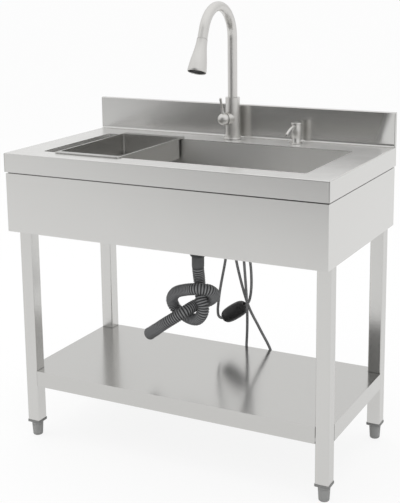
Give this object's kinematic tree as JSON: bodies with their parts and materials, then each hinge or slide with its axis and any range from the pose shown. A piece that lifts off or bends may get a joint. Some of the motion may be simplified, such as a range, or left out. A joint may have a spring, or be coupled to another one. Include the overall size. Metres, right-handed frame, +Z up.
{
  "type": "freestanding sink unit",
  "caption": "Freestanding stainless steel sink unit with one bowl, a rear upstand, square legs, a shelf, a pull-down spray tap, a soap pump and a sliding tray.",
  "frame": {"origin": "on the floor under the middle of the worktop", "axes": "+X to the user's right, +Y to the wall, +Z up"},
  "size_m": [1, 0.545, 1.3115],
  "materials": {
    "steel": "satin brushed",
    "fasteners": "bright",
    "foot_plastic": "matt",
    "waste_steel": "polished",
    "seals": "matt",
    "waste_plastic": "matt",
    "drain_plastic": "satin",
    "satin_nickel": "satin",
    "shank_brass": "turned",
    "black_plastic": "satin",
    "white_plastic": "satin",
    "braided_hose": "satin braid",
    "hose_nuts": "polished",
    "spring_steel": "bright"
  },
  "bodies": {
    "stand": {"sink_top": "steel", "upstand_caps": "steel", "bowl": "steel", "apron": "steel", "rear_rail": "steel", "top_rails": "steel", "leg_sockets": "steel", "leg_front_left": "steel", "leg_front_right": "steel", "leg_rear_left": "steel", "leg_rear_right": "steel", "leg_bolts": "fasteners", "shelf": "steel", "shelf_ribs": "steel", "shelf_tabs": "steel", "shelf_screws": "fasteners", "foot_plugs": "foot_plastic", "waste_body": "waste_steel", "waste_gasket": "seals", "waste_nut": "waste_plastic", "drain_nut": "drain_plastic", "drain_hose": "drain_plastic", "tap_flange": "satin_nickel", "tap_body": "satin_nickel", "tap_shank": "shank_brass", "shank_washer": "seals", "shank_nut": "shank_brass", "hose_plate": "black_plastic", "spout_bush": "white_plastic", "supply_hose_hot": "braided_hose", "supply_hose_cold": "braided_hose", "supply_nuts": "hose_nuts", "hose_coupler": "black_plastic", "spray_hose_loop": "braided_hose", "soap_collar": "satin_nickel", "soap_nut": "black_plastic", "soap_bottle": "white_plastic", "pump_barrel": "white_plastic", "pump_spring": "spring_steel", "dip_tube": "white_plastic"},
    "front_left_foot": {"foot_front_left": "foot_plastic"},
    "front_right_foot": {"foot_front_right": "foot_plastic"},
    "rear_left_foot": {"foot_rear_left": "foot_plastic"},
    "rear_right_foot": {"foot_rear_right": "foot_plastic"},
    "basket": {"waste_basket": "waste_steel"},
    "valve": {"valve_yoke": "white_plastic"},
    "handle": {"handle_ball": "satin_nickel", "lever": "satin_nickel", "lever_ring": "satin_nickel"},
    "gooseneck": {"spout": "satin_nickel", "dock_ring": "black_plastic", "spray_hose_upper": "braided_hose"},
    "spray": {"spray_head": "satin_nickel", "spray_face": "black_plastic", "spray_hose_tail": "braided_hose"},
    "weight": {"hose_weight": "black_plastic"},
    "pump_rod": {"pump_stem": "white_plastic"},
    "pump_cap": {"pump_head": "satin_nickel"},
    "tray": {"drain_tray": "steel"}
  },
  "joints": [
    {"name": "spout_swivel", "type": "hinge", "parent": "stand", "child": "gooseneck", "pos_m": [0, 0.216, 1], "axis": [0, 0, 1], "range_deg": [-80, 80]},
    {"name": "spray_pull", "type": "slide", "parent": "gooseneck", "child": "spray", "axis": [0, -0.3746, -0.9272], "range_m": [0, 0.22], "deforming": ["spray_hose_tail"]},
    {"name": "weight_lift", "type": "slide", "parent": "stand", "child": "weight", "axis": [0, 0, 1], "range_m": [0, 0.11], "deforming": ["spray_hose_loop"]},
    {"name": "handle_turn", "type": "hinge", "parent": "stand", "child": "valve", "pos_m": [-0.013, 0.18029, 0.955], "axis": [-0.342, -0.9397, 0], "range_deg": [-45, 45]},
    {"name": "lever_tilt", "type": "hinge", "parent": "valve", "child": "handle", "pos_m": [-0.013, 0.18029, 0.955], "axis": [0.9397, -0.342, 0], "range_deg": [0, 20]},
    {"name": "pump_press", "type": "slide", "parent": "stand", "child": "pump_rod", "axis": [0, 0, -1], "range_m": [0, 0.012], "stiffness_N_per_m": 600, "springref_m": -0.004, "deforming": ["pump_spring"]},
    {"name": "pump_swivel", "type": "hinge", "parent": "pump_rod", "child": "pump_cap", "pos_m": [0.21, 0.216, 0.94], "axis": [0, 0, 1], "range_deg": [-100, 100]},
    {"name": "tray_slide", "type": "slide", "parent": "stand", "child": "tray", "axis": [1, 0, 0], "range_m": [-0.03, 0.54]},
    {"name": "basket_lift", "type": "slide", "parent": "stand", "child": "basket", "axis": [0, 0, 1], "range_m": [0, 0.12]},
    {"name": "front_left_foot_screw", "type": "slide", "parent": "stand", "child": "front_left_foot", "axis": [0, 0, 1], "range_m": [-0.015, 0]},
    {"name": "front_right_foot_screw", "type": "slide", "parent": "stand", "child": "front_right_foot", "axis": [0, 0, 1], "range_m": [-0.015, 0]},
    {"name": "rear_left_foot_screw", "type": "slide", "parent": "stand", "child": "rear_left_foot", "axis": [0, 0, 1], "range_m": [-0.015, 0]},
    {"name": "rear_right_foot_screw", "type": "slide", "parent": "stand", "child": "rear_right_foot", "axis": [0, 0, 1], "range_m": [-0.015, 0]}
  ],
  "couplings": [
    {"joint": "weight_lift", "follows": "spray_pull", "ratio": 0.5}
  ]
}
